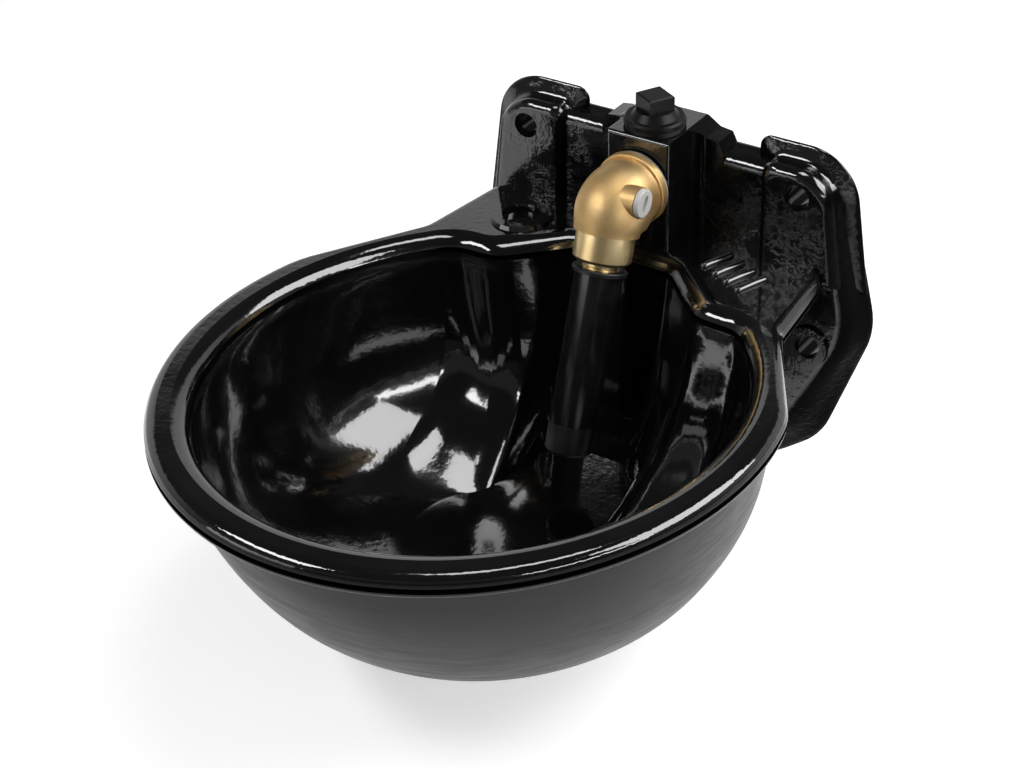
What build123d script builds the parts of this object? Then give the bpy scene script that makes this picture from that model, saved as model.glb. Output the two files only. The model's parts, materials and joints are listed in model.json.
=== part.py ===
from build123d import *
import os
from math import cos, pi, radians, sin, sqrt, tan

# Livestock drinking bowl with a tilting tube valve, hung on a wall by its back plate.
# Millimetres.  Origin: middle of the wall face, level with the top of the rim.
# +Y points into the wall, +Z up, and the bowl reaches out towards -Y.

# ---------------------------------------------------------------- bowl and rim
BOWL_Y = -166.0          # centre of the rim oval, measured out from the wall
RIM_HALF_WIDTH = 128.2   # outer half width of the rim, across the wall
RIM_HALF_REACH = 140.7   # outer half length of the rim, away from the wall
RIM_DEPTH = 10.0         # height of the rolled rim and of the shelf slab
RIM_TOP_ROUND = 5.0      # rounding of the rim's outer top edge
RIM_LOW_ROUND = 2.5      # rounding of the rim's outer lower edge
LIP_ROUND = 8.0          # rounding from the rim's top down into the bowl
BOWL_DEPTH = 98.0        # rim top to the flat floor inside
FLOOR_THICK = 9.0
BOTTOM_Z = -BOWL_DEPTH - FLOOR_THICK   # underside of the bowl
WALL = 7.5               # wall thickness round the recess behind the tube

RIM_WIDE = 18.2              # from the rim's outside to the inside just under the lip
MOUTH_HALF_WIDTH = RIM_HALF_WIDTH - RIM_WIDE
MOUTH_REACH_RATIO = 1.104    # inside length over inside width at the lip
FLOOR_SET_BACK = 22.0        # the floor lies this much nearer to the wall than the rim centre
INSIDE_CLOSING = 1 / 30      # the inside curve would close this share of its depth below the floor
INSIDE_VIRTUAL_DEPTH = (BOWL_DEPTH - LIP_ROUND) * (1 + INSIDE_CLOSING)
INSIDE_SIDE_POWER = 2.4
INSIDE_BASE_POWER = 2.9

RIM_OVERHANG = 8.8           # the rim stands out this far over the body
BODY_HALF_WIDTH = RIM_HALF_WIDTH - RIM_OVERHANG
BODY_CLOSING = 11.0          # the outside curve would close this far below the inside floor
BODY_VIRTUAL_DEPTH = BOWL_DEPTH + BODY_CLOSING
BODY_SIDE_POWER = 1.83
BODY_BASE_POWER = 3.3
BODY_LAP = 1.0               # the body's outline starts this far up inside the rim slab
BODY_ROUNDS = (20.0, 5.0, 14.0)   # valley, pillar and corner roundings of the body's outline
BODY_SET_BACK = 20.0         # the body's base lies this much nearer to the wall
BODY_SET_BACK_POWER = 0.85

# The back wall of the bowl, with the recess that the tube hangs in
WAIST_Y = 93.0           # back wall beside the recess, at the lip, from the bowl centre
WAIST_RISE = 49.0        # the back wall comes forward by this much at the floor
WAIST_POWER = 4.0
WAIST_LIP_SLANT = 2.0    # degrees that the back wall is turned outwards at the lip
WAIST_SLANT = 51.0       # degrees that the back wall has turned outwards by the floor
MOUTH_HALF = 50.0        # half width of the recess where it opens into the bowl
MOUTH_NARROWING = 21.0   # the opening narrows by this much at the floor
MOUTH_POWER = 1.8
RECESS_BACK_Y = 120.0    # back of the recess at the lip
RECESS_BACK_LEAN = 21.0  # the back of the recess comes forward by this much
RECESS_BACK_HALF = 23.0
PILLAR_ROUND = 19.0      # rounded pillars each side of the recess
PILLAR_FLOOR_ROUND = 24.0
VALLEY_ROUND = 16.0      # hollow corners between pillar and bowl side
VALLEY_FLOOR_ROUND = 28.0
RECESS_CORNER_ROUND = 10.0
RECESS_FLOOR_ROUND = 17.0
MOUTH_LAP = 12.0         # the recess outline runs this far forward into the bowl's outline

# ---------------------------------------------------------------- shelf
SHOULDER_INSET = 6.0     # the shelf's edge leaves the rim oval this far inside its widest point
NECK_X = 91.0            # corner of the shelf's edge
NECK_Y = 96.0
SHELF_BACK_X = 85.5      # half width of the shelf at the plate
SHELF_BACK_Y = 141.0
SHELF_END_X = 80.0
SHELF_END_Y = 153.0
SHOULDER_ROUND = 45.0
NECK_ROUND = 16.0
SHELF_ROUND = 5.0

# ---------------------------------------------------------------- back plate
PLATE_THICK = 13.5
PAD_THICK = 18.0
PLATE_TOP_Z = 41.5
PAD_TOP_Z = 45.0
PLATE_CORNER = 14.0      # rounding of the shield's upper corners
PLATE_LOW_CORNER = 38.0  # rounding of its side, lower and base corners
PLATE_EDGE_ROUND = 5.0
PAD_LOW_Z = -9.0
PAD_CORNER = 19.0
PAD_INNER_CORNER = 6.0
PAD_EDGE_ROUND = 4.0
PLATE_OUTLINE = [(84.5, 41.5), (102.0, -33), (78.0, -97), (50.0, -118)]      # at the wall
PLATE_FRONT_OUTLINE = [(82.5, 40.5), (94.0, -38), (69.0, -83), (44.0, -103)]  # at the front face
PAD_INNER_X = 49.0
PAD_INNER_FRONT_X = 51.0
PAD_OUTER_X = 84.5
PAD_OUTER_FRONT_X = 82.5
PAD_FLANK_X = 92.5
PAD_FLANK_FRONT_X = 88.5
PAD_TOP_FALL = 1.2       # the pads' top slopes down by this much towards the front
POCKET_DEPTH = 8.0
POCKET_WALL = 7.0
BOLT_X = 69.0            # upper bolt holes, each side of the middle
BOLT_Z = 32.0
LOW_BOLT_X = 76.0        # lower bolt holes
LOW_BOLT_Z = -42.0
BOLT_HOLE_R = 6.0
FRONT_BOSS_R = 11.0      # raised ring round each lower bolt hole
FRONT_BOSS_HIGH = 1.8
FRONT_BOSS_TAPER = 12.0
BOLT_BOSS_R = 14.0

# ---------------------------------------------------------------- valve housing and water way
GUSSET_X = 50.0          # side gussets under the shelf
WEB_THICK = 8.0
WEB_FRONT_Y = -72.0
WEB_LOW_Z = -82.0
WEB_FRONT_Z = -62.0
HOUSING_HALF = 15.5
HOUSING_REACH = 35.0     # front of the housing block from the wall
HOUSING_TOP_Z = 51.0
HOUSING_EDGE = 1.4
HOUSING_VALLEY = 7.0     # hollow rounding where the block meets the plate
HOUSING_TOP_ROUND = 2.0
VALLEY_HALF = 31.0
HOUSING_SHOULDER = [(31, -8), (31, 40), (28, 46), (22, 46.8), (15.5, 51)]
DUCT_SET_BACK = 15.0     # upright water duct, behind the housing's front
DUCT_Y = DUCT_SET_BACK - HOUSING_REACH
DUCT_R = 7.5
DUCT_COLUMN_R = 16.0
COLUMN_RIM = 1.0         # the plate stays solid this far beside the column
THREAD_R = 9.3           # tapping size of a half-inch pipe thread
THREAD_LENGTH = 16.0
INLET_BELOW = 10.0       # lower mouth of the duct, below the bowl
INLET_Z = BOTTOM_Z - INLET_BELOW
VALVE_Z = 28.0           # height of the elbow's inlet
SPIGOT_R = 10.4
SPIGOT_FIT = 0.05        # radial clearance of screwed and pushed-in pieces
SPIGOT_LENGTH = 11.0
SEAT_BOSS_R = 15.5
SEAT_BOSS_HIGH = 1.2
GASKET_THICK = 1.5
GASKET_INSET = 0.6       # the gasket ends this far inside the elbow's collar

# ---------------------------------------------------------------- elbow and tube valve
LEAN = 19.5              # the tube hangs this many degrees forward of plumb
ELBOW_REACH = 22.1       # from the housing's front to where the inlet axis and the tube axis meet
CORNER_Y = -HOUSING_REACH - ELBOW_REACH
BEND_R = 16.5
COLLAR_R = 16.9
COLLAR_LENGTH = 4.0
COLLAR_EDGE = 0.7
BEND_LAP = 0.5           # the bend starts this far inside the collar
ELBOW_R = 15.8
ELBOW_BELLY_R = 16.8
SKIRT_R = 14.6
SKIRT_S = 12.0           # distances "S" run down the tube axis from the corner
INLET_BORE_R = 8.0
CHAMBER_R = 9.0
CHAMBER_S = -9.2
SEAT_S = 2.0
SEAT_THICK = 3.0
SEAT_R = 12.0
SEAT_HOLE_R = 4.2
SEAT_LAND = 1.2          # width of the face that the disc closes on
SEAT_NOSE = 0.8          # height of that face above the seat's body
SLEEVE_R = 13.05
SLEEVE_THREAD_R = 12.0
SLEEVE_END_S = 25.2
SLEEVE_END_EDGE = 1.6
SLEEVE_GAP = 0.2         # between the elbow's skirt and the sleeve's step
CUP_ROOF = 0.8           # the cup for the swing ring starts this far below the skirt
SLEEVE_BORE_R = 9.5
SLEEVE_LIP_R = 9.2
PIVOT_S = 18.2           # centre of the ball that the tube swings about
BALL_R = 9.2
BALL_FIT = 0.05
RING_OUT_R = 11.0
CUP_R = 11.3
NECK_R = 7.6
HEAD_BORE_R = 5.5
BALL_TOP = 5.2
RING_ABOVE = 4.0
RING_BELOW = 4.5
HEAD_SPIGOT_S = 39.0
NOZZLE_PLUG = 6.0
SLEEVE_RING_S = 8.5
SLEEVE_RING_WIRE = 1.4
BEND_STEPS = 4
RING_FLATS = 8           # small seals and the spring wire have this many flats
TUBE_TOP_S = 28.0
TUBE_END_S = 99.4
TUBE_R = 11.0
TUBE_LOW_R = 10.5
TUBE_BORE_R = 8.6
COLLAR_RING_R = 12.3
COLLAR_RING_HIGH = 2.0
COLLAR_RING_EDGE = 0.5
NOZZLE_END_S = 113.0
NOZZLE_BORE_R = 6.0
NOZZLE_STEP = 0.15       # the nozzle stands out this far over the tube
NOZZLE_EDGE_LONG = 1.5
NOZZLE_EDGE_DEEP = 1.2
STEM_R = 1.5
STEM_TOP_S = -8.5
FOOT_S = 11.0
FOOT_THICK = 1.5
FOOT_R = 6.5
DISC_R = 6.3
DISC_THICK = 2.0
DISC_EDGE = 0.4
CAP_R = 5.2
CAP_THICK = 1.5
SPRING_R = 3.6
SPRING_WIRE_R = 0.5
SPRING_TURNS = 4
SPRING_FIT = 0.05        # between the spring's end and its cap

# ---------------------------------------------------------------- flow screw
SCREW_RISE = 5.2         # above the inlet axis
SCREW_OFFSET = 0.6       # forward of the tube axis corner
SCREW_Y = CORNER_Y - SCREW_OFFSET
SCREW_Z = VALVE_Z + SCREW_RISE
SCREW_HEAD_R = 6.4
SCREW_SHANK_R = 4.4
SCREW_FACE_X = 14.8      # outer face of its boss on the elbow
SCREW_HEAD_HIGH = 2.4
SCREW_HEAD_EDGE = 0.7
SCREW_TIP_X = 6.6
SCREW_BOSS_R = 6.9
SCREW_BOSS_DEEP = 8.0
SCREW_HOLE_X = 3.0       # inner end of its hole
SCREW_GAP = 0.15
SCREW_RING_X = 11.0
SCREW_RING_WIDE = 1.6
SCREW_RING_WIRE = 1.3
SLOT_TURN = 60.0
SLOT_LONG = 7.5
SLOT_WIDE = 2.6
SLOT_DEEP = 1.7

# ---------------------------------------------------------------- top plug
PLUG_SEAL_THICK = 1.4
PLUG_SEAL_R = 13.2
PLUG_FLANGE_R = 13.8
PLUG_FLANGE_HIGH = 3.0
PLUG_NECK_LOW_R = 10.8
PLUG_NECK_TOP_R = 8.4
PLUG_NECK_HIGH = 3.0
PLUG_HEAD_SIDE = 12.4
PLUG_HEAD_HIGH = 7.0
PLUG_HEAD_TURN = 61.0
PLUG_SHANK_LENGTH = 11.0
PLUG_FLANGE_EDGE = 0.8
PLUG_HEAD_EDGE = 0.6
PLUG_TIP_EDGE = 1.0

# ---------------------------------------------------------------- shelf details
SHELF_BOSS_X = 56.0
SHELF_BOSS_Y = -43.0
SHELF_BOSS_R = 14.5
SHELF_BOSS_HIGH = 1.8
SHELF_BOSS_TAPER = 20.0
SHELF_DIMPLE_R = 8.8
SHELF_DIMPLE_DEEP = 3.4
SHELF_DIMPLE_TAPER = 15.0
BAR_COUNT = 4
BAR_X = 51.0
BAR_Y = -39.0
BAR_PITCH = 8.4
BAR_ROW_TURN = -26.0
BAR_TURN = 69.0
BAR_LONG = 18.0
BAR_WIDE = 3.2
BAR_HIGH = 1.3
BAR_TAPER = 8.0

RIB_THICK = 6.0
LOW_RIB_Z = -74.0
BOLT_POINTS = [(-BOLT_X, BOLT_Z), (BOLT_X, BOLT_Z), (-LOW_BOLT_X, LOW_BOLT_Z), (LOW_BOLT_X, LOW_BOLT_Z)]
HOLLOW_OUTLINE = [(-76, 34), (-89, -33), (-65, -85), (-42, -99), (42, -99), (65, -85), (89, -33), (76, 34)]

# Heights of the bowl's cross sections, closer together where the curve turns in
INSIDE_SPACING = (0, 18, 36, 52, 66, 77, 84.5, 90)
OUTSIDE_SPACING = (0, 21, 41, 59, 73, 84, 92, 98)
LIP_STEPS = 4            # sections in each rounded edge
LAP = 2.0                # pieces of one casting run this far into each other
EPS = 0.01               # tolerance when corners are picked by their place

os.makedirs("parts", exist_ok=True)


def lerp(a, b, t):
    return a + (b - a) * t


def save(builder, name):
    builder.part.label = name
    export_step(builder.part, f"parts/{name}.step")


def from_middle(vertex):
    return abs(vertex.X)


def near(value):
    return (value - EPS, value + EPS)


def stations(top_z, low_z, spacing):
    """Heights from top to bottom, spread as the spacing is, whose last value stands for the bottom."""
    return [lerp(top_z, low_z, part / spacing[-1]) for part in spacing]


def inside_fraction(z):
    """0 just under the lip, nearly 1 at the floor."""
    return min(1.0, max(0.0, (-z - LIP_ROUND) / INSIDE_VIRTUAL_DEPTH))


def bowl_section(z, half_width, half_reach, centre_y, grow, rounds):
    """Outline of the bowl at height z: an oval, cut off by its back walls, with the tube recess."""
    u = inside_fraction(z)
    waist_y = BOWL_Y + WAIST_Y - WAIST_RISE * u ** WAIST_POWER + grow
    mouth = MOUTH_HALF - MOUTH_NARROWING * u ** MOUTH_POWER + grow
    fall = tan(radians(lerp(WAIST_LIP_SLANT, WAIST_SLANT, u ** WAIST_POWER)))
    back_y = BOWL_Y + RECESS_BACK_Y - RECESS_BACK_LEAN * u + grow
    back_half = RECESS_BACK_HALF + grow * 0.7
    slope = (mouth - back_half) / (back_y - waist_y)
    front_y = waist_y - MOUTH_LAP
    front_half = mouth + slope * MOUTH_LAP
    far_y = waist_y - fall * (half_width - mouth + 1)
    low_y = centre_y - half_reach - 1
    right_wall = [(half_width + 1, low_y), (half_width + 1, far_y), (mouth, waist_y)]
    left_wall = [(-x, y) for x, y in reversed(right_wall)]
    valley, pillar, corner = rounds
    with BuildSketch(Plane.XY.offset(z)) as outline:
        with Locations((0, centre_y)):
            Ellipse(half_reach, half_width, rotation=90)
        Polygon(*(right_wall + left_wall), align=None, mode=Mode.INTERSECT)
        Polygon((-front_half, front_y), (front_half, front_y), (back_half, back_y), (-back_half, back_y),
                align=None)
        fillet(outline.vertices().filter_by_position(Axis.Y, *near(waist_y)).sort_by(from_middle)[:2], pillar)
        fillet(outline.vertices().sort_by(from_middle)[-2:], valley)
        fillet(outline.vertices().group_by(Axis.Y)[-1], corner)
    return outline


def inside_section(z, lip_grow=0.0):
    u = inside_fraction(z)
    half_width = MOUTH_HALF_WIDTH * (1 - u ** INSIDE_SIDE_POWER) ** (1 / INSIDE_BASE_POWER)
    ratio = lerp(MOUTH_REACH_RATIO, 1.0, u ** 3)
    centre_y = BOWL_Y + FLOOR_SET_BACK * u ** 3
    rounds = (lerp(VALLEY_ROUND, VALLEY_FLOOR_ROUND, u) + lip_grow,
              lerp(PILLAR_ROUND, PILLAR_FLOOR_ROUND, u) - lip_grow,
              lerp(RECESS_CORNER_ROUND, RECESS_FLOOR_ROUND, u) + lip_grow)
    return bowl_section(z, half_width + lip_grow, half_width * ratio + lip_grow, centre_y, lip_grow, rounds)


def outside_section(z):
    u = min(1.0, (-z - RIM_DEPTH + BODY_LAP) / BODY_VIRTUAL_DEPTH)
    half_width = BODY_HALF_WIDTH * (1 - u ** BODY_SIDE_POWER) ** (1 / BODY_BASE_POWER)
    centre_y = BOWL_Y + BODY_SET_BACK * u ** BODY_SET_BACK_POWER
    ratio = RIM_HALF_REACH / RIM_HALF_WIDTH
    return bowl_section(z, half_width, half_width * ratio, centre_y, WALL, BODY_ROUNDS)


def rounded_stations(thick, edge_round):
    """Stations through a plate's thickness, ending in a rounded front edge."""
    stations = [(0.0, 0.0), (0.5 * (1 - edge_round / thick), 0.0)]
    for step in range(LIP_STEPS + 1):
        turn = step / LIP_STEPS * pi / 2
        stations.append((1 - edge_round / thick * (1 - sin(turn)), edge_round * (1 - cos(turn))))
    return stations


def slab_section(z, grow):
    """Outline of the rim and shelf at height z, drawn in by a negative grow."""
    half_width = RIM_HALF_WIDTH + grow
    half_reach = RIM_HALF_REACH + grow
    shoulder_x = half_width - SHOULDER_INSET
    shoulder_y = BOWL_Y + half_reach * sqrt(1 - (shoulder_x / half_width) ** 2)
    edge_of_neck = [(NECK_X, NECK_Y), (SHELF_BACK_X, SHELF_BACK_Y), (SHELF_END_X, SHELF_END_Y)]
    right_edge = [(shoulder_x, shoulder_y)] + [(x + grow, y + BOWL_Y) for x, y in edge_of_neck]
    left_edge = [(-x, y) for x, y in reversed(right_edge)]
    with BuildSketch(Plane.XY.offset(z)) as outline:
        with Locations((0, BOWL_Y)):
            Ellipse(half_reach, half_width, rotation=90)
        with Locations((0, shoulder_y)):
            Rectangle(4 * half_reach, 4 * half_reach, align=(Align.CENTER, Align.MAX), mode=Mode.INTERSECT)
        Polygon(*(right_edge + left_edge + [(0, BOWL_Y)]), align=None)
        fillet(outline.vertices().filter_by_position(Axis.Y, *near(shoulder_y)), SHOULDER_ROUND)
        fillet(outline.vertices().filter_by_position(Axis.Y, *near(BOWL_Y + NECK_Y)), NECK_ROUND)
        fillet(outline.vertices().filter_by_position(Axis.Y, *near(BOWL_Y + SHELF_BACK_Y)), SHELF_ROUND)
    return outline


def plate_outline(t, inset):
    """Shield outline of the plate: t=0 at the wall, t=1 at the front face."""
    half = [(lerp(x, front_x, t), lerp(z, front_z, t))
            for (x, z), (front_x, front_z) in zip(PLATE_OUTLINE, PLATE_FRONT_OUTLINE)]
    mirrored = [(-x, z) for x, z in reversed(half)]
    with BuildSketch(Plane.XZ.offset(PLATE_THICK * t)) as outline:
        Polygon(*(half + mirrored), align=None)
        offset(amount=-inset, kind=Kind.INTERSECTION, mode=Mode.REPLACE)
        fillet(outline.vertices().group_by(Axis.Y)[-1], PLATE_CORNER - inset)
        fillet(outline.vertices().filter_by(lambda v: v.Y < 0), PLATE_LOW_CORNER - inset)
    return outline.sketch


def pad_outline(side, t, inset):
    """Outline of a bolt pad, which stands a little above and in front of the plate."""
    top_z = PAD_TOP_Z - PAD_TOP_FALL * t
    inner_x = lerp(PAD_INNER_X, PAD_INNER_FRONT_X, t)
    outer = [(lerp(PAD_OUTER_X, PAD_OUTER_FRONT_X, t), top_z),
             (lerp(PAD_FLANK_X, PAD_FLANK_FRONT_X, t), PAD_LOW_Z)]
    inner = [(inner_x, PAD_LOW_Z), (inner_x, top_z)]
    with BuildSketch(Plane.XZ.offset(PAD_THICK * t)) as outline:
        Polygon(*[(side * x, z) for x, z in outer + inner], align=None)
        offset(amount=-inset, kind=Kind.INTERSECTION, mode=Mode.REPLACE)
        top = outline.vertices().group_by(Axis.Y)[-1].sort_by(from_middle)
        fillet(top[1:], PAD_CORNER - inset)
        high = outline.vertices().filter_by(lambda v: v.Y > PLATE_TOP_Z - inset - PAD_EDGE_ROUND)
        fillet(high.sort_by(from_middle)[:1], PAD_INNER_CORNER)
    return outline.sketch


def valve_plane(s, x_dir=(1, 0, 0)):
    """Plane square to the tube axis, at distance s below the corner; its normal points down the tube."""
    down = (0, -sin(radians(LEAN)), -cos(radians(LEAN)))
    origin = (0, CORNER_Y + s * down[1], VALVE_Z + s * down[2])
    return Plane(origin=origin, x_dir=x_dir, z_dir=down)


# ================================================================ bowl casting
INSIDE_STATIONS = stations(-LIP_ROUND, -BOWL_DEPTH, INSIDE_SPACING)
OUTSIDE_STATIONS = stations(-RIM_DEPTH + BODY_LAP, BOTTOM_Z, OUTSIDE_SPACING)


with BuildPart() as inside_space:
    for station in INSIDE_STATIONS:
        add(inside_section(station).sketch)
    loft()

with BuildPart() as lip_space:
    for step in range(LIP_STEPS + 1):
        turn = step / LIP_STEPS * pi / 2
        add(inside_section(-LIP_ROUND * (1 - sin(turn)), LIP_ROUND * (1 - cos(turn))).sketch)
    loft()


with BuildPart() as rim_slab:
    for step in range(LIP_STEPS + 1):
        turn = step / LIP_STEPS * pi / 2
        add(slab_section(-RIM_TOP_ROUND * (1 - sin(turn)), -RIM_TOP_ROUND * (1 - cos(turn))).sketch)
    loft()
    for step in range(LIP_STEPS + 1):
        turn = step / LIP_STEPS * pi / 2
        low_z = -RIM_DEPTH + RIM_LOW_ROUND * (1 - sin(turn))
        add(slab_section(low_z, -RIM_LOW_ROUND * (1 - cos(turn))).sketch)
    loft()

with BuildPart() as plate_shape:
    for t, inset in rounded_stations(PLATE_THICK, PLATE_EDGE_ROUND):
        add(plate_outline(t, inset))
    loft()

with BuildPart() as pads:
    for side in (-1, 1):
        for t, inset in rounded_stations(PAD_THICK, PAD_EDGE_ROUND):
            add(pad_outline(side, t, inset))
        loft()

with BuildPart() as body_shape:
    for station in OUTSIDE_STATIONS:
        add(outside_section(station).sketch)
    loft()

with BuildPart() as housing_block:
    with BuildSketch(Plane.XY.offset(-RIM_DEPTH + LAP)) as block:
        with Locations((0, -HOUSING_REACH)):
            Rectangle(2 * HOUSING_HALF, HOUSING_REACH, align=(Align.CENTER, Align.MIN))
        with Locations((0, -PLATE_THICK)):
            Rectangle(2 * VALLEY_HALF, PLATE_THICK, align=(Align.CENTER, Align.MIN))
        inner_corners = block.vertices().filter_by_position(Axis.Y, *near(-PLATE_THICK)).sort_by(from_middle)
        fillet(inner_corners[:2], HOUSING_VALLEY)
        fillet(block.vertices().group_by(Axis.Y)[0], HOUSING_EDGE)
    extrude(amount=HOUSING_TOP_Z + RIM_DEPTH - LAP)
    with BuildSketch(Plane.XZ.offset(-LAP / 2)) as front_view:
        Polygon(*[(-x, z) for x, z in HOUSING_SHOULDER] + [(x, z) for x, z in reversed(HOUSING_SHOULDER)],
                align=None)
        fillet(front_view.vertices().group_by(Axis.Y)[-1], HOUSING_TOP_ROUND)
    extrude(amount=HOUSING_REACH + LAP, mode=Mode.INTERSECT)
    with BuildSketch(Plane.YZ.offset(-VALLEY_HALF - LAP / 2)) as side_view:
        with Locations((-HOUSING_REACH, -RIM_DEPTH)):
            Rectangle(HOUSING_REACH, HOUSING_TOP_Z + RIM_DEPTH, align=Align.MIN)
        fillet(side_view.vertices().group_by(Axis.Y)[-1].sort_by(Axis.X)[0], HOUSING_EDGE)
    extrude(amount=2 * VALLEY_HALF + LAP, mode=Mode.INTERSECT)

with BuildPart() as bowl_casting:
    add(body_shape.part)
    add(rim_slab.part)
    add(plate_shape.part)
    add(pads.part)

    # Web and gussets that carry the bowl from the plate, under the shelf
    for x in (-GUSSET_X, 0, GUSSET_X):
        with BuildSketch(Plane.YZ.offset(x)):
            Polygon((WEB_FRONT_Y, -RIM_DEPTH + LAP), (-PLATE_THICK + LAP, -RIM_DEPTH + LAP),
                    (-PLATE_THICK + LAP, WEB_LOW_Z), (WEB_FRONT_Y, WEB_FRONT_Z), align=None)
        extrude(amount=WEB_THICK / 2, both=True)

    # Housing block, and the column of the upright water duct under it
    add(housing_block.part)
    with BuildSketch(Plane.XY.offset(INLET_Z)):
        with Locations((0, DUCT_Y)):
            Circle(DUCT_COLUMN_R)
        with Locations((0, 0)):
            Rectangle(2 * DUCT_COLUMN_R, -DUCT_Y, align=(Align.CENTER, Align.MAX))
    extrude(amount=HOUSING_TOP_Z - INLET_Z - PLATE_THICK)
    with BuildSketch(Plane.XZ.offset(HOUSING_REACH - LAP / 2)):
        with Locations((0, VALVE_Z)):
            Circle(SEAT_BOSS_R)
    extrude(amount=SEAT_BOSS_HIGH + LAP / 2)

    # Hollow back of the plate, with bosses at the bolt holes and two cross ribs
    with BuildSketch(Plane.XZ) as hollow:
        Polygon(*HOLLOW_OUTLINE, align=None)
        fillet(hollow.vertices(), PLATE_CORNER - POCKET_WALL)
        with Locations(*BOLT_POINTS):
            Circle(BOLT_BOSS_R, mode=Mode.SUBTRACT)
        Rectangle(2 * (DUCT_COLUMN_R + COLUMN_RIM), -3 * INLET_Z, mode=Mode.SUBTRACT)
        with Locations((0, 0), (0, LOW_RIB_Z)):
            Rectangle(2 * RIM_HALF_WIDTH, RIB_THICK, mode=Mode.SUBTRACT)
    extrude(amount=POCKET_DEPTH, mode=Mode.SUBTRACT)

    # Raised rings round the lower bolt holes, and all four holes
    with BuildSketch(Plane.XZ.offset(POCKET_DEPTH)):
        with Locations(*[(x, z) for x, z in BOLT_POINTS if z == LOW_BOLT_Z]):
            Circle(FRONT_BOSS_R)
    extrude(amount=PLATE_THICK - POCKET_DEPTH + FRONT_BOSS_HIGH, taper=FRONT_BOSS_TAPER)
    with BuildSketch(Plane.XZ):
        with Locations(*BOLT_POINTS):
            Circle(BOLT_HOLE_R)
    extrude(amount=2 * PAD_THICK, mode=Mode.SUBTRACT)

    # Bowl space and lip
    add(inside_space.part, mode=Mode.SUBTRACT)
    add(lip_space.part, mode=Mode.SUBTRACT)

    # Water way: upright duct, threaded at both ends, and the elbow's seat
    with BuildSketch(Plane.XY.offset(INLET_Z)):
        with Locations((0, DUCT_Y)):
            Circle(DUCT_R)
    extrude(amount=HOUSING_TOP_Z - INLET_Z, mode=Mode.SUBTRACT)
    for level, way in ((INLET_Z, 1), (HOUSING_TOP_Z, -1)):
        with BuildSketch(Plane.XY.offset(level)):
            with Locations((0, DUCT_Y)):
                Circle(THREAD_R)
        extrude(amount=way * THREAD_LENGTH, mode=Mode.SUBTRACT)
    with BuildSketch(Plane.XZ.offset(-DUCT_Y)):
        with Locations((0, VALVE_Z)):
            Circle(SPIGOT_R + SPIGOT_FIT)
    extrude(amount=HOUSING_REACH, mode=Mode.SUBTRACT)

    # Round boss on the left of the shelf, and grip bars on the right
    with BuildSketch():
        with Locations((-SHELF_BOSS_X, SHELF_BOSS_Y)):
            Circle(SHELF_BOSS_R)
    extrude(amount=SHELF_BOSS_HIGH, taper=SHELF_BOSS_TAPER)
    with BuildSketch(Plane.XY.offset(SHELF_BOSS_HIGH)):
        with Locations((-SHELF_BOSS_X, SHELF_BOSS_Y)):
            Circle(SHELF_DIMPLE_R)
    extrude(amount=-SHELF_DIMPLE_DEEP, taper=SHELF_DIMPLE_TAPER, mode=Mode.SUBTRACT)
    with BuildSketch(Plane.XY.offset(-LAP / 2)):
        for bar in range(BAR_COUNT):
            step = (bar - (BAR_COUNT - 1) / 2) * BAR_PITCH
            place = (BAR_X + step * cos(radians(BAR_ROW_TURN)), BAR_Y + step * sin(radians(BAR_ROW_TURN)))
            with Locations(Location((*place, 0), (0, 0, BAR_TURN))):
                SlotOverall(BAR_LONG, BAR_WIDE)
    extrude(amount=BAR_HIGH + LAP / 2, taper=BAR_TAPER)
save(bowl_casting, "bowl_casting")


# ================================================================ top plug
plug_base = HOUSING_TOP_Z + PLUG_SEAL_THICK
with BuildPart() as plug_seal:
    with BuildSketch(Plane.XY.offset(HOUSING_TOP_Z)):
        with Locations((0, DUCT_Y)):
            Circle(PLUG_SEAL_R)
            Circle(THREAD_R, mode=Mode.SUBTRACT)
    extrude(amount=PLUG_SEAL_THICK)
save(plug_seal, "plug_seal")

with BuildPart() as top_plug:
    with BuildSketch(Plane.XY.offset(plug_base)):
        with Locations((0, DUCT_Y)):
            Circle(PLUG_FLANGE_R)
    extrude(amount=PLUG_FLANGE_HIGH)
    chamfer(top_plug.faces().sort_by(Axis.Z)[-1].edges(), PLUG_FLANGE_EDGE)
    for level, radius in ((0, PLUG_NECK_LOW_R), (PLUG_NECK_HIGH, PLUG_NECK_TOP_R)):
        with BuildSketch(Plane.XY.offset(plug_base + PLUG_FLANGE_HIGH + level)):
            with Locations((0, DUCT_Y)):
                Circle(radius)
    loft()
    with BuildSketch(Plane.XY.offset(plug_base + PLUG_FLANGE_HIGH + PLUG_NECK_HIGH - LAP / 2)):
        with Locations(Location((0, DUCT_Y, 0), (0, 0, PLUG_HEAD_TURN))):
            Rectangle(PLUG_HEAD_SIDE, PLUG_HEAD_SIDE)
    extrude(amount=PLUG_HEAD_HIGH + LAP / 2)
    chamfer(top_plug.faces().sort_by(Axis.Z)[-1].edges(), PLUG_HEAD_EDGE)
    with BuildSketch(Plane.XY.offset(plug_base)):
        with Locations((0, DUCT_Y)):
            Circle(THREAD_R - SPIGOT_FIT)
    extrude(amount=-PLUG_SEAL_THICK - PLUG_SHANK_LENGTH)
    chamfer(top_plug.faces().sort_by(Axis.Z)[0].edges(), PLUG_TIP_EDGE)
save(top_plug, "top_plug")


# ================================================================ elbow
seat_y = HOUSING_REACH + SEAT_BOSS_HIGH
collar_y = seat_y + GASKET_THICK
turn_total = 90.0 - LEAN
tangent = BEND_R * tan(radians(turn_total / 2))

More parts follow.
